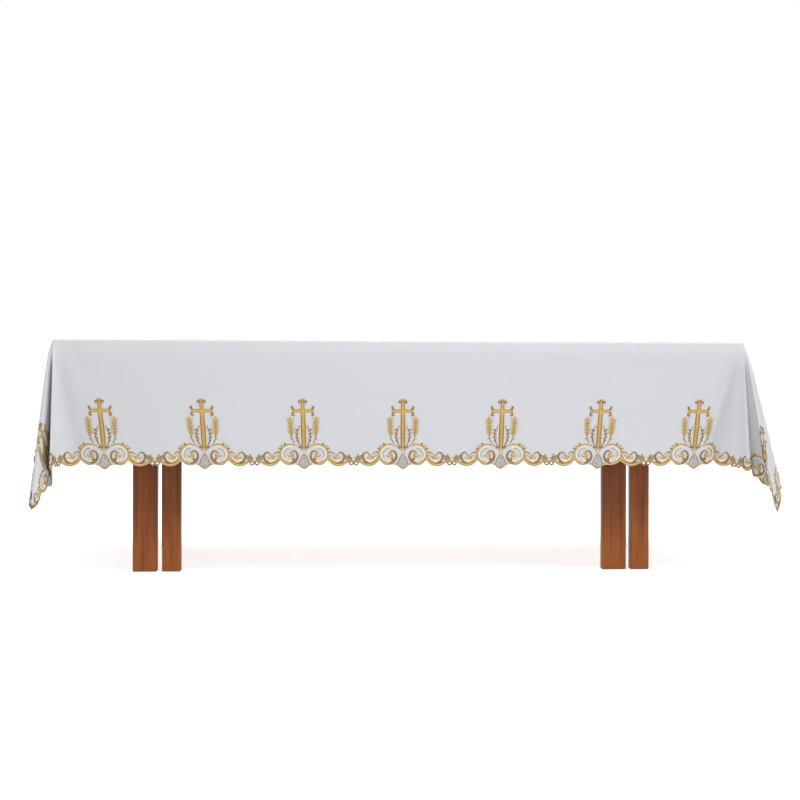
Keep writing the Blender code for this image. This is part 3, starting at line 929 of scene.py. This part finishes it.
def cloth_finish():
    """White plain-woven cloth: fine warp and weft with slightly uneven threads."""
    made, tree, shader, add = new_material("White woven cloth")
    place = add("ShaderNodeUVMap", uv_map="Thread").outputs["UV"]
    warp = add("ShaderNodeTexWave", {"Vector": place, "Scale": WARP_SCALE, "Distortion": 0.6},
               bands_direction="X").outputs["Fac"]
    weft = add("ShaderNodeTexWave", {"Vector": place, "Scale": WEFT_SCALE, "Distortion": 0.6},
               bands_direction="Y").outputs["Fac"]
    weave = add("ShaderNodeMath", {0: warp, 1: weft}, operation="MULTIPLY").outputs[0]
    slubs = []
    for stretch in ((SLUB_ALONG, SLUB_ACROSS, 1.0), (SLUB_ACROSS, SLUB_ALONG, 1.0)):
        drawn = add("ShaderNodeMapping", {"Vector": place, "Scale": stretch}).outputs[0]
        slubs.append(add("ShaderNodeTexNoise", {"Vector": drawn, "Scale": 1.0, "Detail": 2.0}).outputs["Fac"])
    slub = add("ShaderNodeMath", {0: slubs[0], 1: slubs[1]}, operation="ADD").outputs[0]
    tone = add("ShaderNodeMapRange", {"Value": slub, "From Min": 0.6, "From Max": 1.4}).outputs[0]
    steps = add("ShaderNodeValToRGB", {"Fac": tone})
    colour_steps(steps, zip((0.0, 1.0), CLOTH_TONES))
    tree.links.new(steps.outputs["Color"], shader.inputs["Base Color"])
    mix = add("ShaderNodeMath", {0: slub, 1: 0.5, 2: weave}, operation="MULTIPLY_ADD").outputs[0]
    bump = add("ShaderNodeBump", {"Height": mix, "Strength": 0.25, "Distance": 0.0002})
    tree.links.new(bump.outputs["Normal"], shader.inputs["Normal"])
    shader.inputs["Roughness"].default_value = 0.82
    shader.inputs["Sheen Weight"].default_value = 0.15
    shader.inputs["Sheen Roughness"].default_value = 0.5
    return made


def thread_finish(name, edge, body, shine, roughness, metallic):
    """Satin stitch: fine threads across each stroke, with painted shade that darkens it toward its edges."""
    made, tree, shader, add = new_material(name)
    place = add("ShaderNodeUVMap", uv_map="Thread").outputs["UV"]
    parts = add("ShaderNodeSeparateXYZ", {"Vector": place})
    off = add("ShaderNodeMath", {0: parts.outputs["Y"], 1: 0.5}, operation="SUBTRACT").outputs[0]
    away = add("ShaderNodeMath", {0: off}, operation="ABSOLUTE").outputs[0]
    stretched = add("ShaderNodeMapping", {"Vector": place, "Scale": (900.0, 1.5, 1.0)}).outputs[0]
    strands = add("ShaderNodeTexNoise", {"Vector": stretched, "Scale": 1.0, "Detail": 3.0}).outputs["Fac"]
    slow = add("ShaderNodeTexNoise", {"Vector": place, "Scale": 55.0, "Detail": 1.0}).outputs["Fac"]
    both = add("ShaderNodeMath", {0: strands, 1: slow}, operation="ADD").outputs[0]
    sheen = add("ShaderNodeMapRange", {"Value": both, "From Min": 0.75, "From Max": 1.25}).outputs[0]
    core = add("ShaderNodeMix", {"Factor": sheen, "A": (*body, 1), "B": (*shine, 1)}, data_type="RGBA")
    # Painted shade: toward both edges of a stroke its colour is mixed into the dark edge colour
    side = add("ShaderNodeMapRange", {"Value": away, "From Min": 0.20, "From Max": 0.40}).outputs[0]
    full = add("ShaderNodeMix", {"Factor": side, "B": (*edge, 1)}, data_type="RGBA")
    tree.links.new(core.outputs["Result"], full.inputs["A"])
    tree.links.new(full.outputs["Result"], shader.inputs["Base Color"])
    bump = add("ShaderNodeBump", {"Height": strands, "Strength": 0.6, "Distance": 0.0003})
    tree.links.new(bump.outputs["Normal"], shader.inputs["Normal"])
    shader.inputs["Roughness"].default_value = roughness
    shader.inputs["Metallic"].default_value = metallic
    return made


def wood_finish(name, dark, mid, light, grain):
    """Stained timber whose grain runs along the piece, lighter toward the floor."""
    made, tree, shader, add = new_material(name)
    place = add("ShaderNodeTexCoord").outputs["Object"]
    drawn = add("ShaderNodeMapping", {"Vector": place, "Scale": grain}).outputs[0]
    fibres = add("ShaderNodeTexNoise", {"Vector": drawn, "Scale": 14.0, "Detail": 6.0,
                                        "Roughness": 0.62}).outputs["Fac"]
    broad = add("ShaderNodeTexNoise", {"Vector": drawn, "Scale": 2.2, "Detail": 2.0}).outputs["Fac"]
    both = add("ShaderNodeMath", {0: broad, 1: 0.6, 2: fibres}, operation="MULTIPLY_ADD").outputs[0]
    height = add("ShaderNodeSeparateXYZ", {"Vector": place}).outputs["Z"]
    lit = add("ShaderNodeMapRange", {"Value": height, "From Max": WOOD_LIT_TO,
                                     "To Min": WOOD_LIT_BY, "To Max": 0.0}).outputs[0]
    grown = add("ShaderNodeMath", {0: both, 1: lit}, operation="ADD").outputs[0]
    tone = add("ShaderNodeMapRange", {"Value": grown, "From Min": 0.55, "From Max": 1.05}).outputs[0]
    steps = add("ShaderNodeValToRGB", {"Fac": tone})
    colour_steps(steps, [(0.0, dark), (0.5, mid), (1.0, light)])
    tree.links.new(steps.outputs["Color"], shader.inputs["Base Color"])
    rough = add("ShaderNodeMapRange", {"Value": fibres, "From Min": 0.3, "From Max": 0.7,
                                       "To Min": 0.38, "To Max": 0.55}).outputs[0]
    tree.links.new(rough, shader.inputs["Roughness"])
    bump = add("ShaderNodeBump", {"Height": fibres, "Strength": 0.35, "Distance": 0.0006})
    tree.links.new(bump.outputs["Normal"], shader.inputs["Normal"])
    shader.inputs["Specular IOR Level"].default_value = 0.22
    return made


def dress_table():
    """Gives the table's board and posts their wood."""
    upright = wood_finish(*POST_WOOD)
    board = wood_finish(*BOARD_WOOD)
    for name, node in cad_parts.items():
        if name == "altar_cloth":
            continue
        finish = board if name == "table_top" else upright
        for place in node.material_slots:
            place.material = finish


def add_camera():
    """The camera, at the photograph's viewing angle."""
    lens = bpy.data.cameras.new("Camera")
    lens.lens = CAMERA_LENS
    lens.sensor_width = CAMERA_SENSOR
    lens.clip_end = 100
    camera = add_object("Camera", lens)
    camera.location = Vector(CAMERA_PLACE) + Vector((TABLE_MIDDLE.x, TABLE_MIDDLE.y, 0))
    camera.rotation_euler = (math.pi / 2, CAMERA_ROLL, -CAMERA_TURN)
    bpy.context.scene.camera = camera


def add_softbox(name, place, aim, size, power):
    """A large soft light."""
    lamp = bpy.data.lights.new(name, "AREA")
    lamp.shape = "RECTANGLE"
    lamp.size, lamp.size_y = size
    lamp.energy = power
    light = add_object(name, lamp)
    light.location = place
    light.rotation_euler = (Vector(aim) - Vector(place)).to_track_quat("-Z", "Y").to_euler()


def add_world():
    """Pale surroundings, dimmer overhead than round the horizon."""
    world = bpy.data.worlds.new("Studio")
    bpy.context.scene.world = world
    world.use_nodes = True
    tree = world.node_tree
    back = tree.nodes["Background"]
    add = node_adder(tree)
    place = add("ShaderNodeTexCoord").outputs["Generated"]
    height = add("ShaderNodeSeparateXYZ", {"Vector": place}).outputs["Z"]
    fade = add("ShaderNodeMapRange", {"Value": height, "From Min": SKY_FADE[0], "From Max": SKY_FADE[1],
                                      "To Min": SKY_LOW, "To Max": SKY_HIGH}).outputs[0]
    tree.links.new(fade, back.inputs["Strength"])
    back.inputs["Color"].default_value = (1, 1, 1, 1)


def add_floor():
    """A plain pale floor that glows a little, so that it stays even."""
    mesh = bpy.data.meshes.new("Floor")
    corners = [(FLOOR_REACH * x, FLOOR_REACH * y, 0) for x, y in ((-1, -1), (1, -1), (1, 1), (-1, 1))]
    mesh.from_pydata(corners, [], [(0, 1, 2, 3)])
    made, _, shader, _ = new_material("Pale floor")
    shader.inputs["Base Color"].default_value = (FLOOR_TONE, FLOOR_TONE, FLOOR_TONE, 1)
    shader.inputs["Roughness"].default_value = 0.9
    shader.inputs["Emission Color"].default_value = (1, 1, 1, 1)
    shader.inputs["Emission Strength"].default_value = FLOOR_GLOW
    mesh.materials.append(made)
    floor = add_object("Floor", mesh)


def dress_cloth():
    """Puts the sewn cloth in the place of the frame's."""
    finishes = {thread: thread_finish(*look) for thread, look in THREADS.items()}
    cloth = add_cloth(cloth_finish())
    groups = motif_groups()
    threads = [piece for side in SIDES for piece in embroider(side, groups, finishes)]
    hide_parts("altar_cloth")
    for piece in [cloth, *threads]:
        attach(piece, "root")
    flat_area()


def main():
    """Sets the studio up and dresses the model."""
    bpy.context.scene.view_settings.view_transform = "Standard"
    add_camera()
    add_world()
    add_floor()
    for softbox in SOFTBOXES:
        add_softbox(*softbox)
    dress_cloth()
    dress_table()


main()
